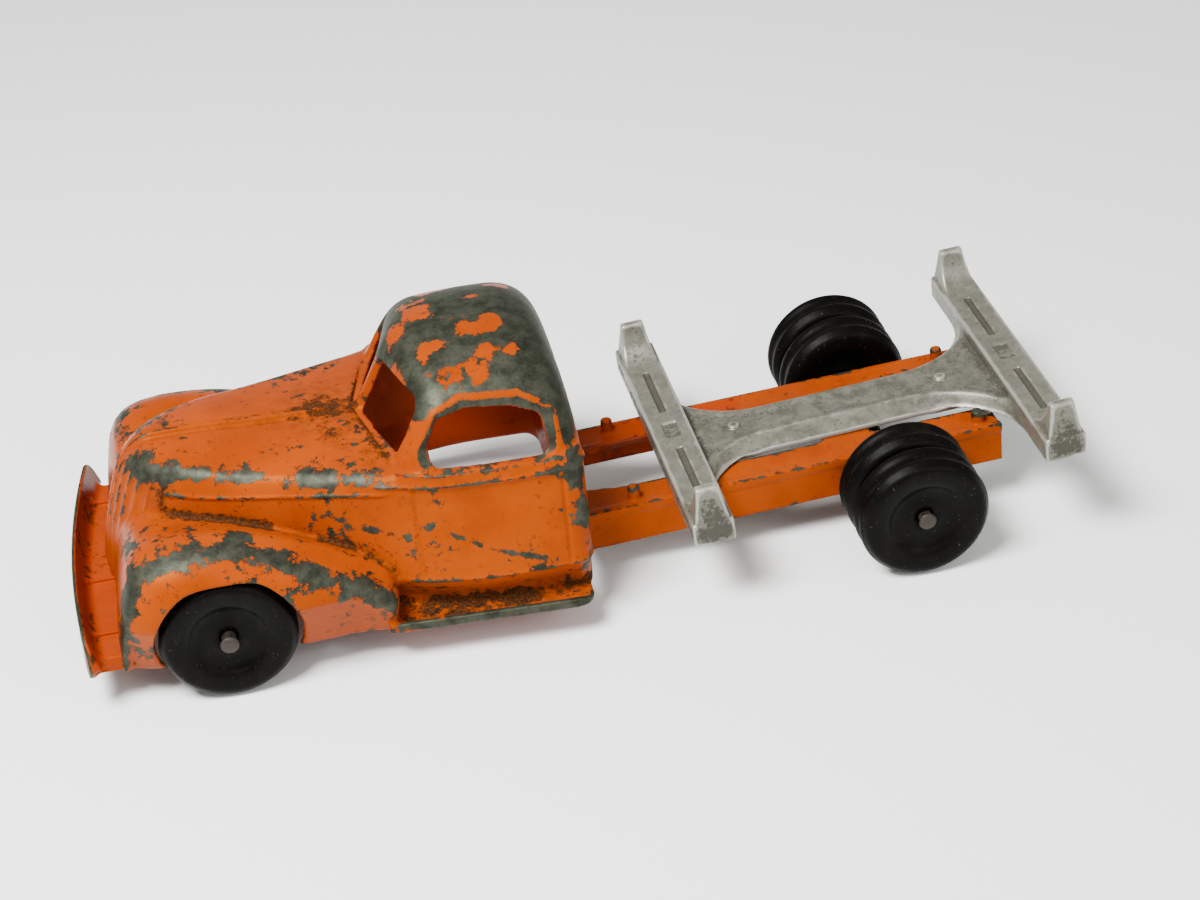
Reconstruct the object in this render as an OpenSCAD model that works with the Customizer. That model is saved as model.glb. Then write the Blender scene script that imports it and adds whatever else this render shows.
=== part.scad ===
// Toy log truck: a die-cast cab on an open chassis, with a separate cast log
// frame, disc wheels and peened axles. Millimetres, +X forward, +Y left, +Z up.
// The origin is on the ground under the middle of the truck.

/* [Running gear] */
// distance between the two axles
wheelbase = 159.6; // [140:0.1:180]
// rear axle position, measured back from the origin
rear_axle_back = 77.2; // [70:0.1:85]
// radius of a wheel at its tread ridge
wheel_r = 15.5; // [12:0.1:18]
// thickness of a wheel through its tread
wheel_w = 10.6; // [8:0.1:13]
// middle of a front wheel, measured from the centre line
front_track_y = 35.4; // [30:0.1:38]
// middle of an outer rear wheel, measured from the centre line
rear_outer_y = 36.8; // [32:0.1:40]
// distance between the two rear wheels of a pair
dual_pitch = 11.1; // [10.8:0.1:13]
// radius of an axle rod
axle_r = 1.6; // [1.2:0.05:2.5]
// radius of the flattened head at each end of an axle
axle_head_r = 2.2; // [1.9:0.1:3]
// length of the front axle
front_axle_l = 83.6; // [80:0.1:90]
// length of the rear axle
rear_axle_l = 84.6; // [80:0.1:90]
// gap around an axle in its holes
axle_gap = 0.05; // [0.02:0.01:0.1]

/* [Cab casting] */
// thickness of the cast shell
wall = 1.6; // [1.2:0.1:2.5]
// height of the open bottom edge above the ground
sill_z = 8.5; // [6:0.1:12]
// height of the crease above the running board
crease_z = 18.5; // [15:0.1:22]
// height of the shoulder line that runs from the nose to the back of the cab
shoulder_z = 43.5; // [38:0.1:48]
// height of the hood at its centre line
hood_z = 47.4; // [44:0.1:52]
// height of the roof
roof_z = 66.3; // [60:0.1:72]
// back face of the cab, measured from the origin
cab_back_x = -1.2; // [-6:0.1:6]
// bottom of the nose, measured from the origin
nose_x = 107.8; // [100:0.1:112]
// radius of a front wheel arch
arch_r = 16.4; // [15.9:0.1:19]
// outer edge of a running board, measured from the centre line
board_y = 40; // [36:0.1:44]

/* [Bumper] */
// half the width of the bumper blade
bumper_y = 38.6; // [36:0.1:44]
// front of the bumper blade at the centre line
bumper_x = 115.5; // [112:0.1:120]
// how far the bumper ends are swept back
bumper_bow = 3; // [2:0.1:8]
// height of the bumper blade
bumper_h = 11; // [8:0.1:14]
// thickness of the bumper blade
bumper_t = 1.8; // [1.2:0.1:4]

/* [Chassis rails] */
// angle at which the rails climb towards the tail
rail_rise = 3.1; // [0:0.1:5]
// outer face of a rail, measured from the centre line
rail_y = 18.1; // [15:0.1:22]
// width of a rail's top flange
rail_flange = 8.9; // [6:0.1:12]
// height of a rail
rail_h = 9.9; // [7:0.1:12]
// length of the rails behind the rear axle
rail_tail = 26.4; // [20:0.1:35]
// radius of an upright peg
peg_r = 1.5; // [1:0.1:2.5]
// height of an upright peg above the flange
peg_h = 3.5; // [2:0.1:6]

/* [Log frame] */
// angle at which the log frame climbs towards the tail
log_rise = 4.3; // [0:0.1:6]
// underside of the log frame above the ground, over the rear axle
log_z = 23; // [20:0.1:28]
// half the length of a bolster
bolster_y = 40.5; // [35:0.1:44]
// width of a bolster, front to back
bolster_w = 9.7; // [7:0.1:12]
// height of a bolster's end face
bolster_h = 5.6; // [4:0.1:8]
// centre of the front bolster, ahead of the rear axle
front_bolster_x = 49.6; // [44:0.1:54]
// centre of the rear bolster, behind the rear axle
rear_bolster_x = 33.6; // [28:0.1:38]
// height of a horn above the bolster
horn_h = 8.4; // [6:0.1:12]
// thickness of a horn at its root, front to back
horn_w = 8.6; // [5:0.1:9]
// thickness of a horn at its tip, front to back
horn_tip_w = 5.2; // [3:0.1:7]
// half the width of the beam at its waist
beam_y = 8.3; // [6:0.1:12]

/* [Hidden] */
$fn = 96;
rear_axle_x = -rear_axle_back;
front_axle_x = rear_axle_x + wheelbase;
bore_r = axle_r + axle_gap;
orange = [0.85, 0.40, 0.06];
zinc = [0.62, 0.63, 0.58];
black = [0.08, 0.08, 0.08];
rust = [0.42, 0.36, 0.31];

function mix(a, b, t) = a + (b - a) * t;
function clamp01(t) = max(0, min(1, t));

// ---------------------------------------------------------------- lofting

// A closed skin through a list of rings that all have the same point count.
module loft(rings) {
    n = len(rings[0]);
    last = (len(rings) - 1) * n;
    sides = [for (r = [0 : len(rings) - 2], i = [0 : n - 1])
        let (a = r * n + i, b = r * n + (i + 1) % n)
        each [[a, b + n, b], [a, a + n, b + n]]];
    first_cap = [[for (i = [0 : n - 1]) i]];
    last_cap = [[for (i = [n - 1 : -1 : 0]) last + i]];
    polyhedron([for (r = rings) each r], concat(first_cap, sides, last_cap));
}

// ---------------------------------------------------------------- tub: cab sides and hood

// half-width of the tub at the shoulder line: [distance from the origin, half-width]
shoulder_plan = [[-1.2, 27.5], [-0.4, 30], [1.2, 32], [4, 33.2], [8, 33.6], [18, 33.2], [29, 32],
                 [41, 29.3], [55, 25.2], [70, 20.8], [81, 18], [90, 16], [100, 14.6], [109, 14]];
// half-width of the tub at the crease above the running boards
crease_plan = [[-1.2, 31], [-0.4, 33.4], [1.2, 35.2], [4, 36.6], [8, 37.2], [20, 37.2], [29, 36.2],
               [41, 33], [55, 27.4], [70, 22], [81, 18.6], [90, 16.4], [100, 15], [109, 14.4]];
// front of the tub: [height, distance behind the bottom of the nose]
nose_rake = [[8, 0], [14, 0], [18, 0.9], [24, 2], [30, 3.6], [36, 5.4], [41, 7.4], [43.5, 8.6],
             [45.3, 10.2], [46.6, 12.6], [47.2, 15.8], [47.4, 20]];
// share of the half-width left as the hood crown closes: [share of the crown's height, share]
hood_crown = [[0, 1], [0.13, 0.97], [0.28, 0.86], [0.54, 0.68], [0.77, 0.46], [0.92, 0.24], [1, 0.04]];
belt_rise = 0.5;
belt_h = 2.5;
nose_round = 8;
// heights at which the tub's plan outline is drawn
tub_levels = concat([sill_z, sill_z + 4, crease_z, 24, 30, 36],
                    [shoulder_z - belt_h, shoulder_z - belt_h + 0.5, shoulder_z],
                    [for (i = [1 : len(hood_crown) - 1]) mix(shoulder_z, hood_z, hood_crown[i][0])]);
// shares of the tub's length at which each outline has a point, closer at the ends
tub_steps = 21;
tub_marks = [for (i = [0 : tub_steps]) 0.498 * (1 - cos(180 * i / tub_steps))];

function tub_front(z) = nose_x - lookup(z, nose_rake);
function tub_half(x, z, front) =
    let (low = z < crease_z ? 3 * clamp01((crease_z - z) / 6) : 0,
         side = mix(lookup(x, crease_plan), lookup(x, shoulder_plan),
                    clamp01((z - crease_z) / (shoulder_z - crease_z))),
         nose = clamp01((front - x) / nose_round))
    (side - low) * sqrt(1 - pow(1 - nose, 2)) * lookup((z - shoulder_z) / (hood_z - shoulder_z), hood_crown)
        + (z > shoulder_z - belt_h + 0.2 && z < shoulder_z + 0.2 && x < 46 ? belt_rise : 0);
// One plan outline of the tub at height z, drawn in by inset and lowered by drop.
function tub_ring(z, inset, drop) =
    let (front = tub_front(z), back = cab_back_x,
         left = [for (m = tub_marks) let (x = mix(back, front, m))
             [mix(back + inset, front - inset, m), max(0.4, tub_half(x, z, front) - inset), z - drop]])
    concat([for (p = left) [p[0], -p[1], p[2]]],
           [for (i = [len(left) - 1 : -1 : 0]) left[i]]);

module tub_solid() {
    loft([for (z = tub_levels) tub_ring(z, 0, 0)]);
}

module tub_hollow() {
    below = [for (p = tub_ring(sill_z, wall, 0)) [p[0], p[1], 0]];
    loft(concat([below], [for (z = tub_levels) tub_ring(z, wall, z > crease_z ? wall : 0)]));
}

// ---------------------------------------------------------------- greenhouse: windows and roof

roof_root_z = 40;
// the roof and pillars: [share of height, half-width, back, front, squareness, windshield vee]
roof_levels = [[0, 33.2, -1.2, 48.5, 4.4, 5.6], [0.17, 32.9, -1, 47.4, 4.4, 5.6],
               [0.3, 32.2, -0.6, 45.3, 4.2, 5.6], [0.44, 30.8, 0, 43.2, 4, 5.6],
               [0.55, 29, 0.6, 41.3, 3.8, 5.4], [0.65, 26, 1.4, 39.6, 3.6, 5],
               [0.73, 22.6, 2.8, 37.4, 3.3, 4], [0.81, 18.8, 5, 34.6, 3, 3],
               [0.89, 14.7, 8.2, 31.2, 2.8, 2], [0.95, 10, 12.4, 27.4, 2.5, 1],
               [0.985, 5.4, 16.4, 24, 2.2, 0.4], [1, 2, 19, 21.6, 2, 0]];
roof_steps = 40;

function signed_power(v, e) = sign(v) * pow(abs(v), e);
function roof_ring(level, inset, drop) =
    let (half = max(0.6, level[1] - inset), back = level[2] + inset, front = level[3] - inset,
         mid = (back + front) / 2, reach = max(0.6, (front - back) / 2))
    [for (i = [0 : roof_steps - 1])
        let (a = 360 * (i + 0.5) / roof_steps,
             c = signed_power(cos(a), 2 / level[4]), s = signed_power(sin(a), 2 / level[4]))
        [mid + reach * c - level[5] * abs(s) * clamp01(c), half * s,
         mix(roof_root_z, roof_z, level[0]) - drop]];

module roof_solid() {
    loft([for (l = roof_levels) roof_ring(l, 0, 0)]);
}

module roof_hollow() {
    loft(concat([[for (p = roof_ring(roof_levels[0], wall, 0)) [p[0], p[1], 30]]],
                [for (l = roof_levels) roof_ring(l, wall, l[0] > 0.2 ? wall : 0)]));
}

// ---------------------------------------------------------------- fenders and running boards

// the fender: [distance from the origin, crown height, outer half-width]
fender_stations = [[107.8, 18.5, 32], [105.6, 25.2, 36.6], [103.8, 29.6, 38.4], [101.2, 34, 40],
                   [96.6, 36.8, 41.5], [88, 37.9, 42.2], [80, 37.2, 42.4], [73, 35.5, 42.3],
                   [66, 33, 41.9], [59, 29.9, 41.3], [52, 26.1, 40.4], [46.5, 22.4, 39.5],
                   [44.4, 19.6, 39.1], [43.6, 15.6, 38.8]];
fender_root_y = 12.35;
fender_steps = 9;

function fender_ring(station, inset, side) =
    let (out = station[2] - inset, crown = station[1] - inset,
         wide = min(23, crown - 3), foot = max(out - 3, fender_root_y + 2))
    concat([[station[0], side * fender_root_y, inset > 0 ? 0 : sill_z]],
           [for (i = [0 : fender_steps]) let (a = 90 - 90 * i / fender_steps)
               [station[0], side * mix(fender_root_y, out, pow(cos(a), 0.72)),
                wide + (crown - wide) * pow(sin(a), 0.72)]],
           [[station[0], side * foot, inset > 0 ? 0 : sill_z]]);

module fender_solid(side) {
    rings = [for (s = fender_stations) fender_ring(s, 0, side)];
    loft([for (r = rings) side > 0 ? r : [for (i = [len(r) - 1 : -1 : 0]) r[i]]]);
}

module fender_hollow(side) {
    rings = [for (s = fender_stations)
        fender_ring([s[0] + (s[0] > 75 ? -wall : wall), s[1], s[2]], wall, side)];
    loft([for (r = rings) side > 0 ? r : [for (i = [len(r) - 1 : -1 : 0]) r[i]]]);
}

module running_board(side) {
    board_t = 1.9;
    lip = 0.9;
    hull() {
        translate([-0.3, side > 0 ? 33 : -34, sill_z]) cube([1, 1, board_t]);
        translate([3, side * (board_y - 2.5), sill_z]) cylinder(r = 2.5, h = board_t, $fn = 32);
        translate([42.5, side > 0 ? 31 : -board_y + 0.4, sill_z]) cube([1.1, board_y - 31.4, board_t]);
    }
    hull() {
        translate([3, side * (board_y - 0.7), sill_z]) cylinder(r = 0.7, h = board_t + lip, $fn = 24);
        translate([42.4, side * (board_y - 1), sill_z]) cylinder(r = 0.7, h = board_t + lip, $fn = 24);
    }
}

// ---------------------------------------------------------------- window cuts

door_x = [6.8, 31.8];
door_z = [44.9, 55.8];
pane_y = [1.7, 22.6];
pane_z = [46, 56.8];
vee_angle = 14;
pane_shift = 10.8;
back_window = [11, 48, 54.5];

module door_window(side) {
    bottom_r = 1.6;
    top_r = 4.5;
    hull()
        for (x = door_x, z = door_z) {
            r = z < 50 ? bottom_r : top_r;
            translate([x + (x < 20 ? r : -r - (z > 50 ? 1 : 0)), side * 36, z + (z < 50 ? r : -r)])
                rotate([90, 0, 0]) cylinder(r = r, h = 30, center = true, $fn = 32);
        }
}

module windshield_pane(side) {
    corner_r = 1.8;
    rotate([0, 0, side * vee_angle])
        hull()
            for (y = pane_y, z = pane_z)
                translate([34, side * (y + (y < 10 ? corner_r : -corner_r) - pane_shift),
                           z + (z < 50 ? corner_r : -corner_r)])
                    rotate([0, 90, 0]) cylinder(r = corner_r, h = 40, $fn = 32);
}

module rear_window() {
    corner_r = 2.4;
    hull()
        for (y = [-back_window[0], back_window[0]], z = [back_window[1], back_window[2]])
            translate([-8, y, z]) rotate([0, 90, 0]) cylinder(r = corner_r, h = 16, $fn = 32);
}

module wheel_arch(side) {
    translate([front_axle_x - 0.2, side * 37, wheel_r + 0.1])
        rotate([90, 0, 0]) cylinder(r = arch_r, h = 30, center = true, $fn = 96);
}

// Upright ribs that stand out from the nose as a grille.
module grille() {
    rib_pitch = 2.6;
    rib_w = 0.9;
    rib_rise = 0.5;
    intersection() {
        loft([for (z = tub_levels) tub_ring(z, -rib_rise, 0)]);
        for (i = [-5 : 5])
            translate([nose_x - 8.5, i * rib_pitch - rib_w / 2, 15]) cube([12, rib_w, 26]);
    }
}

module hood_rib() {
    rib_r = 0.6;
    hull() {
        translate([46, 0, hood_z - 0.3]) sphere(r = rib_r, $fn = 12);
        translate([90, 0, hood_z - 0.3]) sphere(r = rib_r, $fn = 12);
    }
}

web_x = 5;
web_y = [8, 12];
web_top_z = 34;

module cab_body() color(orange)
    difference() {
        union() {
            difference() {
                tub_solid();
                tub_hollow();
            }
            for (side = [-1, 1])
                difference() {
                    fender_solid(side);
                    fender_hollow(side);
                    tub_hollow();
                }
            for (side = [-1, 1]) running_board(side);
            difference() {
                roof_solid();
                roof_hollow();
                tub_hollow();
            }
            grille();
            hood_rib();
            for (side = [-1, 1])
                translate([front_axle_x - web_x, side > 0 ? web_y[0] : -web_y[1], web_top_z])
                    cube([2 * web_x, web_y[1] - web_y[0], 11]);
        }
        roof_hollow();
        for (side = [-1, 1]) {
            door_window(side);
            windshield_pane(side);
            wheel_arch(side);
        }
        rear_window();
        translate([front_axle_x, 0, wheel_r])
            rotate([90, 0, 0]) cylinder(r = 3.6, h = 60, center = true, $fn = 48);
    }

// The forked web under the hood that carries the front axle.
module front_axle_web() color(orange)
    difference() {
        translate([front_axle_x - web_x, -web_y[1], 10.5])
            cube([2 * web_x, 2 * web_y[1], web_top_z - 10.5]);
        translate([front_axle_x - web_x - 1, -web_y[0], 9])
            cube([2 * web_x + 2, 2 * web_y[0], web_top_z - 12]);
        translate([front_axle_x, 0, wheel_r])
            rotate([90, 0, 0]) cylinder(r = bore_r, h = 60, center = true);
    }

// ---------------------------------------------------------------- bumper

blade_z = 14.6;
blade_corner = 4.6;
shelf_z = [11.6, 13.4];
shelf_y = 35;
shelf_rib_y = [-27, 5.5, 26.5];
bow_r = (pow(bumper_y, 2) + pow(bumper_bow, 2)) / (2 * bumper_bow);

// The face of the blade, a rectangle with rounded corners.
module blade_face() {
    square([2 * (bumper_y - blade_corner), bumper_h], center = true);
    square([2 * bumper_y, bumper_h - 2 * blade_corner], center = true);
    for (y = [-1, 1], z = [-1, 1])
        translate([y * (bumper_y - blade_corner), z * (bumper_h / 2 - blade_corner)])
            circle(r = blade_corner);
}

module front_bumper() color(orange) {
    intersection() {
        translate([bumper_x - 20, 0, blade_z])
            rotate([90, 0, 90]) linear_extrude(21) blade_face();
        difference() {
            translate([bumper_x - bow_r, 0, 0]) cylinder(r = bow_r, h = 30, $fn = 360);
            translate([bumper_x - bow_r, 0, -1])
                cylinder(r = bow_r - bumper_t, h = 32, $fn = 360);
        }
    }
    intersection() {
        union() {
            translate([nose_x, -shelf_y, shelf_z[0]])
                cube([10, 2 * shelf_y, shelf_z[1] - shelf_z[0]]);
            for (y = shelf_rib_y)
                translate([nose_x, y - 0.5, shelf_z[1] - 0.2]) cube([10, 1, 1.2]);
        }
        translate([bumper_x - bow_r, 0, 0])
            cylinder(r = bow_r - bumper_t / 2, h = 30, $fn = 360);
    }
}

// ---------------------------------------------------------------- chassis rails

flange_top = 5.4;
rail_t = 1.5;
cross_x = [3.3, 14.5];
peg_y = 15;
peg_x = [-21.5, 62.4];
gusset_l = 8;

// Places its children in the frame of the rails: the rear axle is its origin.
module on_rails() {
    translate([rear_axle_x, 0, wheel_r]) rotate([0, rail_rise, 0]) children();
}

module rail(side) {
    long = rail_tail + 80;
    translate([-rail_tail, side > 0 ? rail_y - rail_t : -rail_y, flange_top - rail_h])
        cube([long, rail_t, rail_h]);
    translate([-rail_tail, side > 0 ? rail_y - rail_flange : -rail_y, flange_top - rail_t])
        cube([long, rail_flange, rail_t]);
    for (x = peg_x)
        translate([x, side * peg_y, flange_top - rail_t])
            cylinder(r = peg_r, h = peg_h + rail_t, $fn = 48);
}

module chassis_frame() color(orange)
    difference() {
        on_rails()
            difference() {
                union() {
                    for (side = [-1, 1]) rail(side);
                    translate([cross_x[0], 1 - rail_y, flange_top - rail_t])
                        cube([cross_x[1] - cross_x[0], 2 * rail_y - 2, rail_t]);
                    for (side = [-1, 1])
                        translate([0, 0, flange_top - rail_t]) linear_extrude(rail_t)
                            polygon([[77, side * (rail_y - rail_flange + 0.1)],
                                     [77, side * (rail_y - rail_flange - 4)],
                                     [77 - gusset_l, side * (rail_y - rail_flange + 0.1)]]);
                }
                rotate([90, 0, 0]) cylinder(r = bore_r, h = 60, center = true);
            }
        translate([cab_back_x, -30, -5]) cube([20, 60, 40]);
    }

// ---------------------------------------------------------------- log frame

beam_z = [-0.8, 0.4];
ridge_z = 2.4;
ridge_y = 5.2;
flare_r = [18.6, 21.6];
flare_x = [27, -8];
flare_y = 21.8;
groove_y = [8, 27];
groove_w = 1.6;
groove_d = 0.8;
recess_w = 3.6;
recess_l = 6.4;
recess_d = 0.5;
dimple_x = [34.5, -17.2];
foot_r = 1.8;
foot_h = 2.4;
front_foot_y = 13.6;
rear_foot = [-24.4, 11.6];

// Places its children in the frame of the log frame, over the rear axle.
module on_log_frame() {
    translate([rear_axle_x, 0, log_z]) rotate([0, log_rise, 0]) children();
}

module horn_face(side) {
    bite = horn_h;
    scale([side, 1])
        difference() {
            polygon([[bolster_y - bite - 4, bolster_h - 0.5], [bolster_y - bite - 4, bolster_h + horn_h],
                     [bolster_y - 2, bolster_h + horn_h], [bolster_y - 0.2, bolster_h - 0.5]]);
            translate([bolster_y - bite - 4, bolster_h + horn_h]) circle(r = bite);
        }
}

// A horn seen along the bolster: it narrows towards its tip.
module horn_front() {
    mid_w = mix(horn_tip_w, horn_w, 0.3);
    mid_z = bolster_h + 0.45 * horn_h;
    polygon([[-horn_w / 2, 0], [horn_w / 2, 0], [horn_w / 2, bolster_h], [mid_w / 2, mid_z],
             [horn_tip_w / 2, bolster_h + horn_h], [-horn_tip_w / 2, bolster_h + horn_h],
             [-mid_w / 2, mid_z], [-horn_w / 2, bolster_h]]);
}

module bolster() {
    difference() {
        translate([-bolster_w / 2, -bolster_y, 0]) cube([bolster_w, 2 * bolster_y, bolster_h]);
        for (side = [-1, 1])
            translate([-groove_w / 2, side > 0 ? groove_y[0] : -groove_y[1], bolster_h - groove_d])
                cube([groove_w, groove_y[1] - groove_y[0], groove_d + 1]);
        translate([-recess_w / 2, -recess_l / 2, bolster_h - recess_d])
            cube([recess_w, recess_l, recess_d + 1]);
    }
    for (side = [-1, 1])
        intersection() {
            translate([-horn_w / 2, 0, 0])
                rotate([90, 0, 90]) linear_extrude(horn_w) horn_face(side);
            rotate([90, 0, 0]) linear_extrude(2 * bolster_y, center = true) horn_front();
        }
}

// The plan of the beam, waisted between the two bolsters.
module beam_plan() {
    difference() {
        translate([-rear_bolster_x, -flare_y]) square([rear_bolster_x + front_bolster_x, 2 * flare_y]);
        for (side = [-1, 1]) {
            for (i = [0, 1])
                translate([flare_x[i], side * (beam_y + flare_r[i])]) circle(r = flare_r[i]);
            translate([flare_x[1], side > 0 ? beam_y : -flare_y - 1])
                square([flare_x[0] - flare_x[1], flare_y - beam_y + 1]);
        }
    }
}

module log_frame() color(zinc) {
    on_log_frame() {
        translate([front_bolster_x, 0, 0]) bolster();
        translate([-rear_bolster_x, 0, 0]) bolster();
        difference() {
            union() {
                translate([0, 0, beam_z[0]]) linear_extrude(beam_z[1] - beam_z[0]) beam_plan();
                translate([-rear_bolster_x, 0, 0])
                    rotate([90, 0, 90]) linear_extrude(rear_bolster_x + front_bolster_x)
                        polygon([[-beam_y, beam_z[1] - 0.2], [-beam_y, beam_z[1]], [-ridge_y, ridge_z],
                                 [ridge_y, ridge_z], [beam_y, beam_z[1]], [beam_y, beam_z[1] - 0.2]]);
            }
            for (x = dimple_x) translate([x, 0, ridge_z - 0.6]) cylinder(r = 2, h = 2, $fn = 48);
        }
    }
    on_rails()
        for (side = [-1, 1]) {
            translate([front_bolster_x, side * front_foot_y, flange_top])
                cylinder(r = foot_r, h = foot_h, $fn = 48);
            translate([rear_foot[0], side * rear_foot[1], flange_top])
                cylinder(r = foot_r, h = foot_h, $fn = 48);
        }
}

// ---------------------------------------------------------------- axles and wheels

module axle(x, length) {
    head_t = 1;
    translate([x, 0, wheel_r]) rotate([90, 0, 0]) {
        cylinder(r = axle_r, h = length - 0.2, center = true);
        for (side = [-1, 1])
            translate([0, 0, side * (length - head_t) / 2])
                cylinder(r = axle_head_r, h = head_t, center = true);
    }
}

module front_axle() color(rust) axle(front_axle_x, front_axle_l);
module rear_axle() color(rust) axle(rear_axle_x, rear_axle_l);

// One wheel: a tread with a ridge on each side of a shallow groove, a dished face and a loose hole.
module wheel(x, y) {
    half = wheel_w / 2;
    side = [[bore_r, half - 1.9], [4.2, half - 1.9], [5.2, half - 2], [8.2, half - 1.3],
            [12.2, half], [13.1, half], [wheel_r - 1.2, half - 0.8], [wheel_r - 0.5, half - 1.9],
            [wheel_r - 0.1, half - 2.6], [wheel_r, half - 3.2], [wheel_r - 0.1, half - 3.9]];
    profile = concat(side, [[wheel_r - 0.7, half - 5], [wheel_r - 0.7, 5 - half]],
                     [for (i = [len(side) - 1 : -1 : 0]) [side[i][0], -side[i][1]]]);
    translate([x, y, wheel_r]) rotate([90, 0, 0]) rotate_extrude($fn = 128) polygon(profile);
}

module front_left_wheel() color(black) wheel(front_axle_x, front_track_y);
module front_right_wheel() color(black) wheel(front_axle_x, -front_track_y);
module rear_left_outer_wheel() color(black) wheel(rear_axle_x, rear_outer_y);
module rear_left_inner_wheel() color(black) wheel(rear_axle_x, rear_outer_y - dual_pitch);
module rear_right_outer_wheel() color(black) wheel(rear_axle_x, -rear_outer_y);
module rear_right_inner_wheel() color(black) wheel(rear_axle_x, dual_pitch - rear_outer_y);

cab_body();
front_bumper();
front_axle_web();
chassis_frame();
log_frame();
front_axle();
rear_axle();
front_left_wheel();
front_right_wheel();
rear_left_outer_wheel();
rear_left_inner_wheel();
rear_right_outer_wheel();
rear_right_inner_wheel();
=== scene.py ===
"""Looks for the toy log truck: camera, studio, cast bodies, wheels, axles and paint."""

import math

import bmesh
import bpy
import numpy as np
import openvdb
from mathutils import Matrix, Vector, noise


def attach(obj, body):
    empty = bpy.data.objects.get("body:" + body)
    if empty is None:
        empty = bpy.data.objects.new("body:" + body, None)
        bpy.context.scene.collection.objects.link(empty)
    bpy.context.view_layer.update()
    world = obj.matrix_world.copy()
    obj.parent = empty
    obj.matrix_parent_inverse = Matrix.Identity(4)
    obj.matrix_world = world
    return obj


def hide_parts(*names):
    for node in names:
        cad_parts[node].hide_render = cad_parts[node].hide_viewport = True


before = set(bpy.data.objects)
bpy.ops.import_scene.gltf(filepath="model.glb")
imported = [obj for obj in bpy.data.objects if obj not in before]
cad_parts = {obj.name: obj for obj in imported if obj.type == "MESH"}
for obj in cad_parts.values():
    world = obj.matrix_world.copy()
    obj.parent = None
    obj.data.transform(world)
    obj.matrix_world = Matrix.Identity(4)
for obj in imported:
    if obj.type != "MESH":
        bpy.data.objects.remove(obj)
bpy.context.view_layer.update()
MM = 0.001
noise.seed_set(1)  # without a seed, the noise would start from the clock
CAB_CELL = 0.36
FRAME_CELL = 0.3
BUMPER_CELL = 0.27


def link(name, mesh):
    """A new object in the scene that holds the mesh."""
    thing = bpy.data.objects.new(name, mesh)
    bpy.context.collection.objects.link(thing)
    return thing


# ---------------------------------------------------------------- camera and studio

CAMERA_AT = (0.0697, 0.46246, 0.32935)
CAMERA_YAW, CAMERA_PITCH, CAMERA_ROLL = 0.1704, 0.5793, 0.0755
LENS_MM = 70.93
SENSOR_MM = 36
ROOM_COLOUR, ROOM_LIGHT = (0.86, 0.87, 0.86, 1), 0.70
KEY_AT, KEY_SIZE, KEY_WATTS = (0.28, 0.22, 0.62), (0.30, 0.22), 16.0
FILL_AT, FILL_SIZE, FILL_WATTS = (-0.45, 0.5, 0.4), (0.5, 0.4), 2.5
KEY_AIM, FILL_AIM = (0.02, 0, 0.02), (0, 0, 0.02)
FLOOR_HALF = 1.6
FLOOR_COLOUR, FLOOR_ROUGHNESS = (0.88, 0.89, 0.87, 1), 0.85


def add_camera():
    forward = Vector((-math.sin(CAMERA_YAW) * math.cos(CAMERA_PITCH),
                      -math.cos(CAMERA_YAW) * math.cos(CAMERA_PITCH),
                      -math.sin(CAMERA_PITCH)))
    right = forward.cross(Vector((0, 0, 1))).normalized()
    down = forward.cross(right).normalized()
    image_x = math.cos(CAMERA_ROLL) * right + math.sin(CAMERA_ROLL) * down
    image_down = -math.sin(CAMERA_ROLL) * right + math.cos(CAMERA_ROLL) * down
    data = bpy.data.cameras.new("camera")
    data.lens = LENS_MM
    data.sensor_width = SENSOR_MM
    data.clip_start = 0.01
    camera = bpy.data.objects.new("camera", data)
    bpy.context.collection.objects.link(camera)
    turn = Matrix((image_x, -image_down, -forward)).transposed()
    camera.matrix_world = Matrix.Translation(CAMERA_AT) @ turn.to_4x4()
    bpy.context.scene.camera = camera


def add_area_light(name, at, aim, size, watts):
    data = bpy.data.lights.new(name, "AREA")
    data.shape = "RECTANGLE"
    data.size, data.size_y = size
    data.energy = watts
    lamp = bpy.data.objects.new(name, data)
    bpy.context.collection.objects.link(lamp)
    lamp.location = at
    lamp.rotation_euler = (Vector(aim) - Vector(at)).to_track_quat("-Z", "Y").to_euler()


def add_studio():
    world = bpy.data.worlds.new("studio")
    bpy.context.scene.world = world
    world.use_nodes = True
    room = world.node_tree.nodes["Background"]
    room.inputs["Color"].default_value = ROOM_COLOUR
    room.inputs["Strength"].default_value = ROOM_LIGHT
    add_area_light("key", KEY_AT, KEY_AIM, KEY_SIZE, KEY_WATTS)
    add_area_light("fill", FILL_AT, FILL_AIM, FILL_SIZE, FILL_WATTS)
    half = FLOOR_HALF
    mesh = bpy.data.meshes.new("floor")
    mesh.from_pydata([(-half, -half, 0), (half, -half, 0), (half, half, 0), (-half, half, 0)],
                     [], [(0, 1, 2, 3)])
    floor = link("floor", mesh)
    made = bpy.data.materials.new("floor_paper")
    made.use_nodes = True
    shader = made.node_tree.nodes["Principled BSDF"]
    shader.inputs["Base Color"].default_value = FLOOR_COLOUR
    shader.inputs["Roughness"].default_value = FLOOR_ROUGHNESS
    mesh.materials.append(made)


# ---------------------------------------------------------------- distance fields

def smooth_min(a, b, k):
    h = np.clip(0.5 + 0.5 * (b - a) / k, 0, 1)
    return b + (a - b) * h - k * h * (1 - h)


def smooth_max(a, b, k):
    return -smooth_min(-a, -b, k)


def smooth_step(lo, hi, v):
    t = np.clip((v - lo) / (hi - lo), 0, 1)
    return t * t * (3 - 2 * t)


def line_at(v, at, width):
    """A narrow rounded line across v: 1 at its middle, 0 away from it."""
    return np.exp(-((v - at) / width) ** 2)


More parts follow.
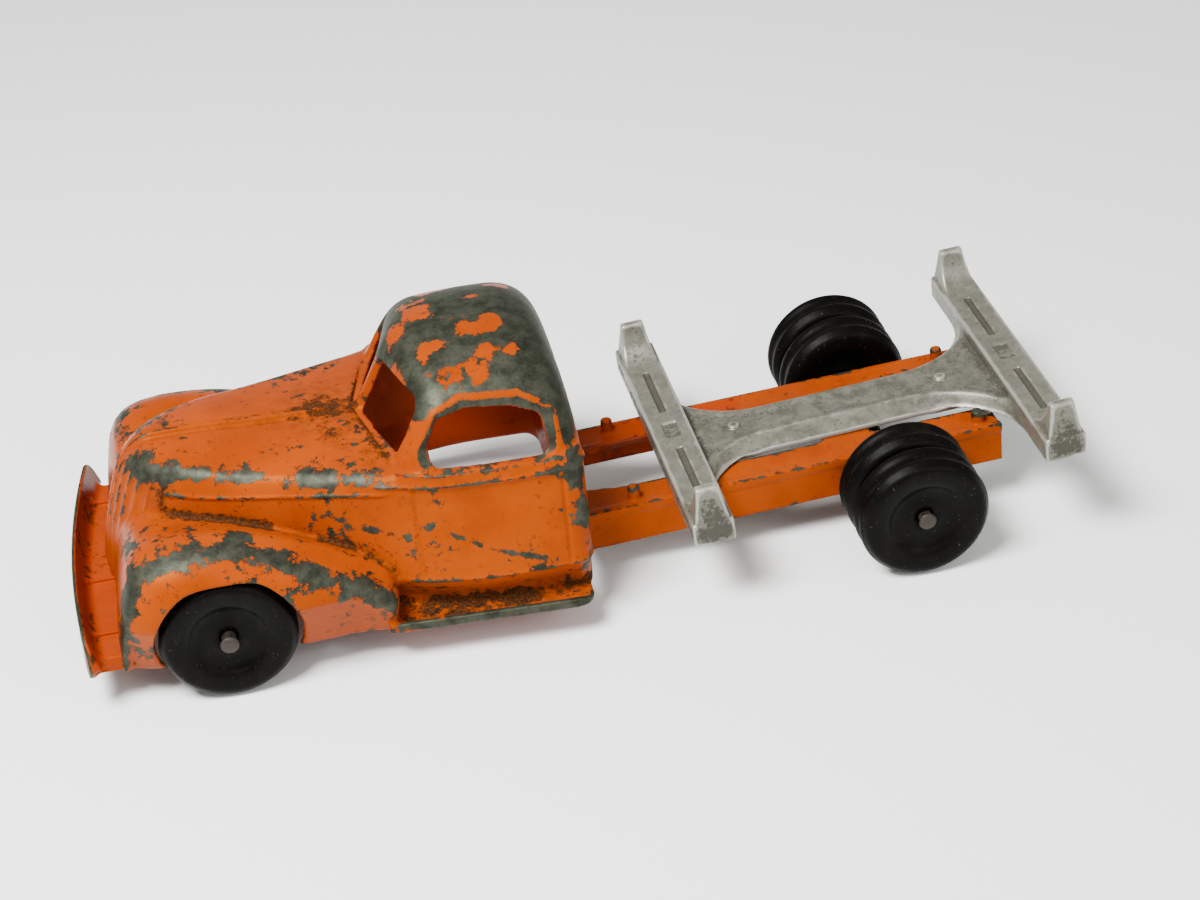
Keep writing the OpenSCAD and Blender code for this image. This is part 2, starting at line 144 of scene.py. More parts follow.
def curve(points):
    """A smooth curve through (place, value) points, as a function of place."""
    xs = np.array([p[0] for p in points], float)
    ys = np.array([p[1] for p in points], float)
    slope = np.gradient(ys, xs)

    def at(v):
        v = np.clip(v, xs[0], xs[-1])
        i = np.clip(np.searchsorted(xs, v) - 1, 0, len(xs) - 2)
        w = xs[i + 1] - xs[i]
        t = (v - xs[i]) / w
        return ((2 * t ** 3 - 3 * t ** 2 + 1) * ys[i] + (t ** 3 - 2 * t ** 2 + t) * w * slope[i]
                + (3 * t ** 2 - 2 * t ** 3) * ys[i + 1] + (t ** 3 - t ** 2) * w * slope[i + 1])
    return at


class Space:
    """A regular grid in millimetres over the box lo to hi, to hold a distance field."""

    def __init__(self, lo, hi, cell):
        self.lo, self.cell = np.array(lo, float), cell
        counts = [int(math.ceil((b - a) / cell)) + 1 for a, b in zip(lo, hi)]
        axes = [(lo[i] + cell * np.arange(counts[i])).astype(np.float32) for i in range(3)]
        self.x = axes[0][:, None, None]
        self.y = axes[1][None, :, None]
        self.z = axes[2][None, None, :]
        self.shape = tuple(counts)

    def full(self, field):
        return np.broadcast_to(field, self.shape).astype(np.float32)

    def even(self, field, least=0.25):
        """The field over the length of its slope: a fair distance near its surface."""
        field = self.full(field)
        parts = np.gradient(field, self.cell)
        slope = np.sqrt(parts[0] ** 2 + parts[1] ** 2 + parts[2] ** 2)
        return (field / np.maximum(slope, least)).astype(np.float32)

    def blur(self, field, cells):
        """A box blur run three times, close to a round one."""
        out = self.full(field).copy()
        for axis in range(3):
            for _ in range(3):
                total = np.cumsum(out, axis=axis, dtype=np.float64)
                n = out.shape[axis]
                hi = np.minimum(np.arange(n) + cells, n - 1)
                lo = np.arange(n) - cells - 1
                top = np.take(total, hi, axis=axis)
                low = np.take(total, np.maximum(lo, 0), axis=axis)
                mask_shape = [1, 1, 1]
                mask_shape[axis] = n
                low = low * (lo >= 0).reshape(mask_shape)
                span = (hi - np.maximum(lo, -1)).reshape(mask_shape)
                out = ((top - low) / span).astype(np.float32)
        return out

    def sample(self, field, points):
        """The field at points, by the eight cells around each."""
        p = (points - self.lo) / self.cell
        top = np.array(self.shape) - 2
        i = np.clip(np.floor(p).astype(int), 0, top)
        t = np.clip(p - i, 0, 1)
        out = 0
        for dx in (0, 1):
            for dy in (0, 1):
                for dz in (0, 1):
                    w = ((t[:, 0] if dx else 1 - t[:, 0]) * (t[:, 1] if dy else 1 - t[:, 1])
                         * (t[:, 2] if dz else 1 - t[:, 2]))
                    out = out + w * field[i[:, 0] + dx, i[:, 1] + dy, i[:, 2] + dz]
        return out


def box_field(space, lo, hi, y=None):
    """The distance to a box. y: other values to measure the box's width along."""
    across = space.y if y is None else y
    parts = [np.abs(v - (a + b) / 2) - (b - a) / 2
             for v, a, b in zip((space.x, across, space.z), lo, hi)]
    outside = np.sqrt(sum(np.maximum(p, 0) ** 2 for p in parts))
    inside = np.minimum(np.maximum(np.maximum(parts[0], parts[1]), parts[2]), 0)
    return outside + inside


def outline_field(u, v, corners, round_r):
    """The distance to a rounded polygon drawn on the plane of u and v."""
    u, v = np.broadcast_arrays(u, v)
    pts = np.array(corners, float)
    best = np.full(u.shape, np.inf)
    inside = np.ones(u.shape, bool)
    sign = np.sign(sum(a[0] * b[1] - b[0] * a[1] for a, b in zip(pts, np.roll(pts, -1, 0))))
    lines = []
    for a, b in zip(pts, np.roll(pts, -1, 0)):
        d = (b - a) / np.linalg.norm(b - a)
        n = np.array([d[1], -d[0]]) * sign
        lines.append((n, n @ a - round_r))
    shrunk = []
    for (n1, c1), (n2, c2) in zip([lines[-1]] + lines[:-1], lines):
        shrunk.append(np.linalg.solve(np.array([n1, n2]), np.array([c1, c2])))
    shrunk = np.array(shrunk)
    for a, b, (n, c) in zip(shrunk, np.roll(shrunk, -1, 0), lines):
        d = b - a
        t = np.clip(((u - a[0]) * d[0] + (v - a[1]) * d[1]) / (d @ d), 0, 1)
        best = np.minimum(best, np.hypot(u - a[0] - t * d[0], v - a[1] - t * d[1]))
        inside &= (n[0] * u + n[1] * v - c) < 0
    return np.where(inside, -best, best) - round_r


def field_mesh(name, space, field, marks, place=None):
    """A mesh of the field's zero surface. marks: name to field, kept as a value per vertex."""
    outside = space.cell * 4
    grid = openvdb.FloatGrid(space.cell * 10)
    pad = np.pad(space.full(field), 1, constant_values=outside)
    grid.copyFromArray(np.ascontiguousarray(pad, dtype=np.float32))
    points, tris, quads = grid.convertToPolygons(0.0, 0.0)
    points = (np.asarray(points, float) - 1) * space.cell + space.lo
    faces = [tuple(int(i) for i in f[::-1]) for f in (*quads, *tris)]
    mesh = bpy.data.meshes.new(name)
    placed = points if place is None else place(points)
    mesh.from_pydata((placed * MM).tolist(), [], faces)
    mesh.update()
    mesh.shade_smooth()
    for key, values in marks.items():
        layer = mesh.attributes.new(key, "FLOAT", "POINT")
        layer.data.foreach_set("value", space.sample(values, points).astype(np.float32))
    return link(name, mesh)


# ---------------------------------------------------------------- cab casting

WALL = 1.5
SILL_Z = 8.5
CREASE_Z = 18.5
SHOULDER_Z = 43.6
AXLE_Z = 15.5
FRONT_AXLE_X = 82.4
ARCH_R = 16.3
SEAMS_X = (4.8, 37.8)
BELT_Z = (41.4, 44.2)
SILL_CREASE_Z = 18.4
AXLE_BOSS = (77.4, 8, 34), (87.4, 12, 45)
HOOD_FOLD_Z = 39.9
GRILLE_PITCH = 2.5
# window outlines: each hole and its wider bevel on the outer face; doors as (x, z), the rest as (y, z)
DOOR_HOLE = [(6.9, 44.9), (32.4, 44.9), (33.0, 49.4), (30.4, 54.2), (23.6, 55.6), (14.6, 55.0),
             (8.0, 53.0)]
DOOR_BEVEL = [(4.6, 44.0), (36.6, 44.0), (35.7, 49.0), (30.6, 55.6), (24.6, 57.7), (12.0, 57.1),
              (4.9, 53.6)]
PANE_HOLE = [(1.7, 45.6), (22.4, 45.4), (22.7, 50.6), (21.4, 54.6), (18.6, 57.0), (1.7, 57.0)]
PANE_BEVEL = [(0.9, 44.9), (23.6, 44.7), (24.0, 50.6), (22.7, 55.6), (19.4, 58.3), (0.9, 58.2)]
REAR_HOLE = [(-12.4, 47.6), (12.4, 47.6), (12.4, 55.4), (-12.4, 55.4)]

# plan and profile lines of the casting: half-widths, heights and the nose, each along its own axis
side_crease = curve([(-2, 37.2), (4.8, 37.3), (11.8, 37.5), (20.8, 37.4), (27.8, 36.5), (36.8, 34.6),
                     (44.8, 31.6), (50.8, 29.2), (57.3, 27.4), (63.4, 25.9), (69.8, 24.3), (75.8, 22.9),
                     (84.3, 20.6), (92, 18.0), (98.8, 15.4), (104, 13.4), (110, 12.0)])
side_shoulder = curve([(-2, 33.2), (4.8, 33.5), (11.8, 33.4), (17.8, 33.0), (28.8, 31.9), (40.8, 29.3),
                       (54.8, 25.6), (69.8, 21.3), (80.8, 18.4), (89.8, 15.6), (95.8, 13.6), (100, 12.4),
                       (110, 11.0)])
hood_crest = curve([(36, 46.2), (46.8, 46.2), (58.8, 46.0), (71.8, 46.5), (80.8, 46.9), (89.8, 47.0),
                    (98.3, 46.6), (110, 45.4)])
hood_shoulder = curve([(36, 43.6), (54.8, 43.7), (69.8, 43.9), (80.8, 44.3), (89.8, 44.4), (98, 44.0),
                       (110, 43.0)])
nose_front = curve([(6, 107.8), (12, 107.6), (20, 106.6), (28, 104.8), (33, 103.4), (40, 100.8),
                    (44, 98.8), (48, 95.8)])
fender_crown = curve([(38, 16.6), (44.8, 21.6), (50.8, 25.6), (57.3, 29.3), (63.4, 32.4), (70, 34.8),
                      (76, 36.6), (85, 37.9), (92, 37.8), (97, 36.7), (100.2, 34.8), (102.4, 31.8),
                      (104.1, 27.0), (105.2, 22.0), (106.2, 16.0), (107.0, 8.0)])
fender_side = curve([(36, 38.8), (44, 39.2), (50, 40.1), (60, 41.4), (70, 42.0), (82, 42.15), (92, 41.9),
                     (98, 41.2), (102, 39.7), (104.4, 38.0), (106.2, 35.4), (107.6, 31.0)])
fender_dip = curve([(44, 0.3), (55, 1.2), (63, 2.3), (73, 3.0), (84, 3.1), (95, 2.8), (104, 2.6)])


def tub_field(s, y):
    """Cab sides, hood and nose."""
    crease, shoulder = side_crease(s.x), side_shoulder(s.x)
    rise = (s.z - CREASE_Z) / (SHOULDER_Z - CREASE_Z)
    half = crease + (shoulder - crease) * np.clip(rise, 0, 1.2)
    half = half - 3.2 * smooth_step(CREASE_Z + 0.4, 12.0, s.z)
    fold = np.clip(np.minimum((s.z - 20) / 20, (43.4 - s.z) / 3.4), 0, 1) * smooth_step(100, 92, s.x)
    side = s.even(y - half - 0.75 * fold * smooth_step(38, 46, s.x))
    spread = np.clip(y / side_shoulder(s.x), 0, 1.3)
    rib = (0.85 * np.exp(-(y / 0.75) ** 4) - 0.4 * line_at(y, 1.6, 0.5)) * smooth_step(49, 54, s.x)
    crest = hood_crest(s.x)
    top = s.even(s.z - (crest - (crest - hood_shoulder(s.x)) * spread ** 2 + rib))
    bars = np.clip(1.6 * np.cos(y * 2 * math.pi / GRILLE_PITCH) + 0.2, 0, 1)
    grille = (0.62 * bars * smooth_step(12.6, 11.8, y)
              * smooth_step(15.0, 16.5, s.z) * smooth_step(43.6, 42.0, s.z))
    front = s.even(s.x - (nose_front(s.z) - 0.043 * y ** 2 + grille))
    back = s.full(-1.0 - s.x)
    body = smooth_max(side, top, 3.4)
    body = smooth_max(body, front, 4.0)
    return smooth_max(body, back, 5.5)


def shield_field(s, y):
    """The distance to the two flat windshield faces, which meet in a low vee."""
    return (s.x - (46.6 - 0.52 * (s.z - 45.0) - 0.26 * np.sqrt(y ** 2 + 1.2))) / 1.157


def greenhouse_field(s, y):
    """Roof, pillars and the two slanted windshield faces."""
    wall_y = curve([(36, 33.4), (44, 33.1), (46, 32.2), (50, 30.9), (56, 28.7), (60, 26.6), (68, 22)])
    taper = 0.0045 * np.clip(s.x - 14, 0, 60) ** 2
    side = s.even(y - (wall_y(s.z) - taper))
    dome = s.even(s.z - (66.2 - 0.0128 * y ** 2 - 0.004 * (s.x - 17) ** 2))
    rear_lean = curve([(30, -1.0), (45, -0.9), (52, -0.1), (58, 0.8), (68, 3.0)])
    back = s.full(rear_lean(s.z) - s.x)
    body = smooth_max(side, dome, 5.0)
    body = smooth_max(body, s.full(shield_field(s, y)), 4.6)
    body = smooth_max(body, back, 10.0)
    return smooth_max(body, s.full(38.0 - s.z), 1.0)


def fender_field(s, y):
    """One front fender, seen from its own side."""
    crown, out = fender_crown(s.x), fender_side(s.x)
    base = np.minimum(22.0, crown - 6.0)
    up = np.clip((s.z - base) / (crown - base), 0, 6)
    across = np.clip((y - 22.0) / (out - 22.0), 0, 6)
    dish = fender_dip(s.x) * smooth_step(31.0, side_crease(s.x) - 2.5, y)
    rounded = (up ** 2.9 + across ** 2.9) ** (1 / 2.9) - 1 + dish / np.maximum(crown - base, 4)
    tuck = 0.24 * np.clip(base - s.z, 0, 20)
    body = s.even(rounded * 12 + tuck, 0.4)
    return smooth_max(body, s.full(43.6 + 0.1 * (21 - s.z) - s.x), 3.4)


def board_field(s, y):
    """A running board with its raised lip."""
    edge = 41.2 - 0.058 * s.x
    plate = np.maximum(s.z - 9.9, np.maximum(y - edge, 26 - y))
    lip = np.maximum(s.z - 10.7, np.abs(y - (edge - 0.65)) - 0.65)
    body = smooth_min(s.full(plate), s.full(lip), 0.7)
    corner = s.full(np.hypot(np.clip(4.5 - s.x, 0, 20), np.clip(y - edge + 4.2, 0, 20)) - 4.2)
    body = np.maximum(body, np.where(s.x < 4.5, corner, -5))
    return np.maximum(body, np.maximum(-0.5 - s.x, s.x - 47))


def finish(thing, body, node):
    """Says which body a piece rides and hides the CAD node it stands in for."""
    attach(thing, body)
    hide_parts(node)
    return thing


def cut_window(body, depth, hole, bevel, limit):
    """Cuts a hole whose outline widens towards the outer face."""
    widen = smooth_step(-1.5, 0.15, depth)
    outline = hole + (bevel - hole) * widen
    return smooth_max(body, -np.maximum(outline, limit), 0.35)


def press_lines(s, y, outer):
    """Presses the belt band, the creases, the hood's side fold and the door seams into the skin."""
    on_cab = smooth_step(50, 42, s.x)
    band = smooth_step(41.1, 41.5, s.z) * smooth_step(44.5, 44.1, s.z) * on_cab
    seam = line_at(s.x, SEAMS_X[0], 0.4) + line_at(s.x, SEAMS_X[1], 0.4)
    seam = seam * smooth_step(18.2, 18.8, s.z) * smooth_step(41.3, 40.9, s.z)
    ridges = line_at(s.z, BELT_Z[1], 0.5) + line_at(s.z, BELT_Z[0], 0.5)
    outer = outer - (0.35 * band + 0.4 * ridges * on_cab) * smooth_step(26, 30, y)
    outer = outer - 0.3 * line_at(s.z, SILL_CREASE_Z, 0.45) * smooth_step(42, 40, s.x)
    fold = line_at(s.z, HOOD_FOLD_Z, 0.42) * smooth_step(41, 45, s.x) * smooth_step(96, 90, s.x)
    return outer - 0.42 * fold * smooth_step(12, 15, y) + 0.4 * seam * smooth_step(24, 28, y)


def cut_arch(s, y, shell):
    """Cuts the wheel arch, flattened at its top where the fender turns inwards."""
    arch = np.hypot(s.x - FRONT_AXLE_X + 0.2, s.z - AXLE_Z - 0.1) - ARCH_R
    flat_top = s.z - 31.0 + 0.5 * np.clip(40.8 - y, 0, 4)
    arch = smooth_max(s.full(arch), s.full(flat_top), 2.0)
    return smooth_max(shell, -s.full(np.maximum(arch, 25.5 - y)), 1.0)


def cut_windows(s, y, shell, outer):
    """Cuts the door windows, the two windshield panes and the rear window."""
    side_plane = np.meshgrid(s.x[:, 0, 0], s.z[0, 0, :], indexing="ij")
    front_plane = np.meshgrid(y[0, :, 0], s.z[0, 0, :], indexing="ij")

    def on_side(corners, round_r):
        return outline_field(*side_plane, corners, round_r)[:, None, :]

    def on_front(corners, round_r):
        return outline_field(*front_plane, corners, round_r)[None, :, :]

    shell = cut_window(shell, outer, on_side(DOOR_HOLE, 2.0), on_side(DOOR_BEVEL, 3.0), 20 - y)
    shield = shield_field(s, y)
    near_shield = np.maximum(-3.4 - shield, shield - 0.8)
    shell = cut_window(shell, outer, on_front(PANE_HOLE, 1.8), on_front(PANE_BEVEL, 2.2), near_shield)
    return smooth_max(shell, -np.maximum(on_front(REAR_HOLE, 2.4), s.x - 10), 0.6)


def mirrored(field):
    """The field of both sides, from a left half whose first layer lies across the centre plane."""
    return np.concatenate([field[:, :0:-1, :], field[:, 1:, :]], axis=1)


def cells_in(length, cell):
    """How many cells a length covers, at least one."""
    return max(1, int(round(length / cell)))


def build_cab():
    cell = CAB_CELL
    lo, hi = (-3, -0.5 * cell, 6.2), (110.4, 44.4, 68)
    s = Space(lo, hi, cell)
    y = np.abs(s.y)
    outer = smooth_min(tub_field(s, y), fender_field(s, y), 1.3)
    outer = smooth_min(outer, greenhouse_field(s, y), 1.4)
    outer = smooth_min(outer, s.full(board_field(s, y)), 1.2)
    outer = press_lines(s, y, s.even(outer, 0.4))
    inner = s.blur(outer, 2) + WALL
    shell = smooth_max(outer, -inner, 0.5)
    boss = box_field(s, *AXLE_BOSS, y=y)
    shell = smooth_min(shell, np.maximum(s.full(boss), outer + 0.4), 1.0)
    shell = smooth_max(shell, s.full(SILL_Z - s.z), 0.6)
    shell = cut_arch(s, y, shell)
    shell = cut_windows(s, y, shell, outer)
    convex = s.blur(outer, max(2, cells_in(1.5, cell))) - outer
    fine = s.blur(shell, cells_in(0.6, cell)) - shell
    whole = Space(lo, hi, cell)
    whole.lo = np.array([lo[0], -lo[1] - cell - (s.shape[1] - 2) * cell, lo[2]])
    whole.shape = (s.shape[0], 2 * (s.shape[1] - 1), s.shape[2])
    marks = {"edge": mirrored(convex), "fine_edge": mirrored(fine), "depth": mirrored(outer)}
    body = field_mesh("cab_shell", whole, mirrored(shell), marks)
    return finish(body, "truck", "cab_body")


# ---------------------------------------------------------------- bumper, chassis and log frame

BUMPER_X, BUMPER_Y, BUMPER_Z, BUMPER_H = 115.5, 38.6, 14.6, 11.0
BUMPER_CORNER, BUMPER_BOW, BUMPER_BEND = 4.6, 3.0, 0.032
BOW_R = (BUMPER_Y ** 2 + BUMPER_BOW ** 2) / (2 * BUMPER_BOW)
SHELF_RIBS_Y, SHELF_ENDS_Y = (-27, 5.5, 26.5), (-34.4, 34.4)
NOSE_X = 107.8
RAIL_RISE, LOG_RISE = math.radians(3.1), math.radians(4.3)
REAR_AXLE_X = -77.2
LOG_Z = 23.0
RAIL_Y, RAIL_FLANGE, RAIL_H, FLANGE_TOP, RAIL_T = 18.1, 8.9, 9.9, 5.4, 1.5
BORE_R = 1.65
PEG_X, PEG_Y, PEG_R, PEG_H = (-21.5, 62.4), 15.0, 1.5, 3.5
BOLSTER_X, BOLSTER_Y, BOLSTER_W, BOLSTER_H = (49.6, -33.6), 40.5, 9.7, 5.6
HORN_H, HORN_TOP, HORN_BASE = 8.4, 5.6, 8.2
WAIST_Y = 8.3
FLARE_FRONT_X, FLARE_FRONT_R = 27, 18.6
FLARE_REAR_X, FLARE_REAR_R = -8, 21.6
FEET = (49.6, 13.6), (49.6, -13.6), (-24.4, 11.6), (-24.4, -11.6)
FOOT_RINGS = (1.8, 0), (1.75, 0.4), (1.65, 1.2), (1.75, 2.4)
FOOT_SIDES = 32


def leaning(angle, z):
    """A placement that turns points about the Y axis and puts them over the rear axle."""
    c, s = math.cos(angle), math.sin(angle)

    def place(p):
        return np.stack([REAR_AXLE_X + p[:, 0] * c + p[:, 2] * s, p[:, 1],
                         z - p[:, 0] * s + p[:, 2] * c], axis=1)
    return place


def edge_marks(s, field):
    """Marks that are positive on ridges and negative in hollows, and the field itself as depth."""
    return {"edge": s.blur(field, max(2, cells_in(1.0, s.cell))) - field,
            "fine_edge": s.blur(field, cells_in(0.5, s.cell)) - field,
            "depth": field}


def bow_at(x, y):
    """How far points lie in front of the blade's face, which is bowed and bent a little to one side."""
    bent = x - BUMPER_BEND * y + BUMPER_BEND * 12
    return np.hypot(bent - (BUMPER_X - BOW_R), y) - BOW_R


def build_bumper():
    s = Space((105.6, -40, 7.6), (116.4, 40, 22), BUMPER_CELL)
    bow = bow_at(s.x, s.y)
    away = np.clip(np.where(s.z > 12.5, 20.1 - s.z, s.z - 9.1) / 7.5, 0, 1)
    thick = smooth_max(s.full(bow), s.full(-bow - 1.0 - 2.0 * away ** 1.4), 0.6)
    dy = np.abs(s.y) - (BUMPER_Y - BUMPER_CORNER)
    dz = np.abs(s.z - BUMPER_Z) - (BUMPER_H / 2 - BUMPER_CORNER)
    face = np.hypot(np.maximum(dy, 0), np.maximum(dz, 0)) + np.minimum(np.maximum(dy, dz), 0)
    face = face - BUMPER_CORNER
    blade = smooth_max(thick, s.full(face), 0.7)
    back, front = NOSE_X - 2, BUMPER_X + 6.5
    behind_blade = s.full(bow + 0.6)
    shelf = box_field(s, (back, -35, 11.6), (front, 35, 13.4))
    shelf = np.maximum(s.full(shelf), behind_blade)
    for rib_y in SHELF_RIBS_Y:
        rib = box_field(s, (back, rib_y - 0.45, 12), (front, rib_y + 0.45, 14.3))
        shelf = smooth_min(shelf, np.maximum(s.full(rib), behind_blade), 0.4)
    for end_y in SHELF_ENDS_Y:
        web = box_field(s, (back, end_y - 0.7, 9.6), (front, end_y + 0.7, 13))
        shelf = smooth_min(shelf, np.maximum(s.full(web), behind_blade), 1.0)
    field = smooth_min(blade, shelf, 1.8)
    made = field_mesh("bumper_casting", s, field, edge_marks(s, field))
    return finish(made, "truck", "front_bumper")


def build_chassis():
    s = Space((-27.2, -19.2, -5.4), (77.4, 19.2, 9.8), FRAME_CELL)
    y = np.abs(s.y)
    rear_end, top_corner = -26.4, (77.6, RAIL_Y, FLANGE_TOP)
    web = box_field(s, (rear_end, RAIL_Y - RAIL_T, FLANGE_TOP - RAIL_H), top_corner, y=y)
    flange = box_field(s, (rear_end, RAIL_Y - RAIL_FLANGE, FLANGE_TOP - RAIL_T), top_corner, y=y)
    field = smooth_min(s.full(web), s.full(flange), 0.9)
    cross = box_field(s, (3.3, -17, FLANGE_TOP - RAIL_T), (14.5, 17, FLANGE_TOP))
    field = smooth_min(field, s.full(cross), 1.2)
    gusset = np.maximum(np.maximum((68.6 - s.x) * 0.4 + (9.2 - y) * 0.9, y - 10),
                        np.abs(s.z - FLANGE_TOP + RAIL_T / 2) - RAIL_T / 2)
    field = smooth_min(field, s.full(gusset), 1.5)
    for x in PEG_X:
        taper = PEG_R - 0.02 * (s.z - FLANGE_TOP)
        peg = np.hypot(s.x - x, y - PEG_Y) - taper
        peg = smooth_max(s.full(peg), s.full(np.abs(s.z - FLANGE_TOP) - PEG_H), 0.7)
        field = smooth_min(field, np.maximum(peg, s.full(FLANGE_TOP - 1 - s.z)), 0.9)
    field = smooth_max(field, -s.full(np.hypot(s.x, s.z) - BORE_R), 0.3)
    behind_cab = REAR_AXLE_X + s.x * math.cos(RAIL_RISE) + s.z * math.sin(RAIL_RISE) + 1.2
    field = np.maximum(field, s.full(behind_cab))
    place = leaning(RAIL_RISE, AXLE_Z)
    made = field_mesh("chassis_casting", s, field, edge_marks(s, field), place)
    return finish(made, "truck", "chassis_frame")


def bolster_field(s, y, x):
    """One cross bar with its two grooves, the recess at its middle and its two horns."""
    bar = box_field(s, (x - BOLSTER_W / 2 + 0.4, -BOLSTER_Y + 0.4, 0.4),
                    (x + BOLSTER_W / 2 - 0.4, BOLSTER_Y - 0.4, BOLSTER_H - 0.4))
    bar = s.full(bar) - 0.4
    for lo, hi in ((8.5, 26.5), (-26.5, -8.5)):
        groove = box_field(s, (x - 0.35, lo, BOLSTER_H - 0.4), (x + 0.35, hi, BOLSTER_H + 3)) - 0.4
        bar = smooth_max(bar, -s.full(groove), 0.4)
    recess = box_field(s, (x - 1.5, -2.9, BOLSTER_H - 0.25), (x + 1.5, 2.9, BOLSTER_H + 3)) - 0.3
    bar = smooth_max(bar, -s.full(recess), 0.3)
    lean = 0.14 * np.clip(s.z - BOLSTER_H, 0, 20)
    horn = np.maximum(y - (BOLSTER_Y - 0.3 - lean), 27.6 - y)
    bite = HORN_H - np.hypot(y - 28.1, s.z - BOLSTER_H - HORN_H)
    horn = smooth_max(s.full(horn), s.full(bite), 0.5)
    horn = smooth_max(horn, s.full(s.z - BOLSTER_H - HORN_H), 0.9)
    root = np.clip(1 - (s.z - BOLSTER_H) / HORN_H, 0, 1) ** 1.3
    flare = HORN_TOP / 2 + (HORN_BASE - HORN_TOP) / 2 * root
    horn = smooth_max(horn, s.full(np.abs(s.x - x) - flare), 0.45)
    horn = np.maximum(horn, s.full(BOLSTER_H - 2 - s.z))
    return smooth_min(bar, horn, 0.25)


def beam_field(s, y):
    """The waisted beam: straight at the waist, flared in two arcs towards the cross bars."""
    plan = s.full(y - WAIST_Y)
    x, y_full = s.full(s.x), s.full(y)
    front = np.where(s.x > FLARE_FRONT_X,
                     FLARE_FRONT_R - np.hypot(s.x - FLARE_FRONT_X, y - WAIST_Y - FLARE_FRONT_R), -99)
    rear = np.where(s.x < FLARE_REAR_X,
                    FLARE_REAR_R - np.hypot(s.x - FLARE_REAR_X, y - WAIST_Y - FLARE_REAR_R), -99)
    plan = np.where(x > FLARE_FRONT_X, s.full(front), plan)
    plan = np.where(x < FLARE_REAR_X, s.full(rear), plan)
    plan = np.where((y_full > WAIST_Y + FLARE_FRONT_R) & (x > FLARE_FRONT_X), 0.6, plan)
    plan = np.where((y_full > WAIST_Y + FLARE_REAR_R) & (x < FLARE_REAR_X), 0.6, plan)
    span = np.maximum(s.x - BOLSTER_X[0], BOLSTER_X[1] - s.x)
    top = 2.6 - 3.0 * smooth_step(-3.2, -0.3, plan) - 0.4 * smooth_step(-3.6, -5.4, plan)
    plate = smooth_max(plan, s.even(s.z - top), 0.8)
    plate = smooth_max(plate, s.full(-0.7 - 1.2 * smooth_step(9.2, 8.6, y) - s.z), 0.5)
    beam = np.maximum(plate, s.full(span))
    for knob_x in (34.5, -17.2):
        knob = np.maximum(np.hypot(s.x - knob_x, s.y) - 1.4, s.z - 2.9)
        beam = smooth_min(beam, s.full(np.maximum(knob, -s.z)), 0.7)
    return beam


def build_log_frame():
    s = Space((-39.4, -41.4, -3.4), (55.4, 41.4, 14.9), FRAME_CELL)
    y = np.abs(s.y)
    field = np.minimum(*(bolster_field(s, y, x) for x in BOLSTER_X))
    field = smooth_min(field, beam_field(s, y), 1.3)
    marks = edge_marks(s, field)
    near_bar = np.minimum(np.abs(s.x - BOLSTER_X[0]), np.abs(s.x - BOLSTER_X[1]))
    marks["wear"] = s.full(smooth_step(6.5, 4.0, near_bar))
    # Darker in the cross bars' grooves and on the bars' outer ends.
    slot = np.maximum(np.abs(near_bar) - 0.9, np.abs(y - 17.5) - 9.2)
    in_slot = smooth_step(0.3, -0.3, slot) * smooth_step(BOLSTER_H - 0.05, BOLSTER_H - 0.4, s.z)
    marks["dirt"] = s.full(np.maximum(in_slot, 0.35 * smooth_step(38.2, 39.6, y)))
    made = field_mesh("log_casting", s, field, marks, leaning(LOG_RISE, LOG_Z))
    return finish(made, "truck", "log_frame")


def build_feet():
    """The short feet that stand on the rails and carry the log frame."""
    mesh = bpy.data.meshes.new("log_feet")
    work = bmesh.new()
    place = leaning(RAIL_RISE, AXLE_Z)
    for x, y in FEET:
        loops = []
        for r, z in FOOT_RINGS:
            pts = np.array([(x + r * math.cos(a), y + r * math.sin(a), FLANGE_TOP + z)
                            for a in np.linspace(0, 2 * math.pi, FOOT_SIDES, endpoint=False)])
            loops.append([work.verts.new(p * MM) for p in place(pts)])
        for low, high in zip(loops, loops[1:]):
            for i in range(FOOT_SIDES):
                j = (i + 1) % FOOT_SIDES
                work.faces.new((low[i], low[j], high[j], high[i]))
        work.faces.new(loops[0][::-1])
        work.faces.new(loops[-1])
    work.to_mesh(mesh)
    work.free()
    mesh.shade_smooth()
    made = link("log_feet", mesh)
    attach(made, "truck")
    return made


# ---------------------------------------------------------------- wheels and axles

def revolve(name, profile, centre, steps, wobble, seed):
    """A profile of points (radius, y) turned about the Y axis through centre, in millimetres.

    The profile is a closed ring, or, where it starts on the axis, an open line. Wobble moves every
    point by a little smooth noise.
    """
    mesh = bpy.data.meshes.new(name)
    work = bmesh.new()
    loops = []
    for k in range(steps):
        a = 2 * math.pi * k / steps
        loop = []
        for i, (r, y) in enumerate(profile):
            at = Vector((math.cos(a) * 2.2, math.sin(a) * 2.2, i * 0.35 + seed * 7.1))
            n = noise.noise_vector(at)
            r, y = r + wobble * n.x, y + wobble * n.y
            loop.append(work.verts.new(((centre[0] + r * math.cos(a)) * MM, (centre[1] + y) * MM,
                                        (centre[2] + r * math.sin(a)) * MM)))
        loops.append(loop)
    points = len(profile)
    closed = profile[0][0] > 0
    for k in range(steps):
        a, b = loops[k], loops[(k + 1) % steps]
        for i in range(points if closed else points - 1):
            j = (i + 1) % points
            work.faces.new((a[i], a[j], b[j], b[i]))
    bmesh.ops.remove_doubles(work, verts=work.verts, dist=1e-7)
    bmesh.ops.recalc_face_normals(work, faces=work.faces)
    work.to_mesh(mesh)
    work.free()
    mesh.shade_smooth()
    return link(name, mesh)


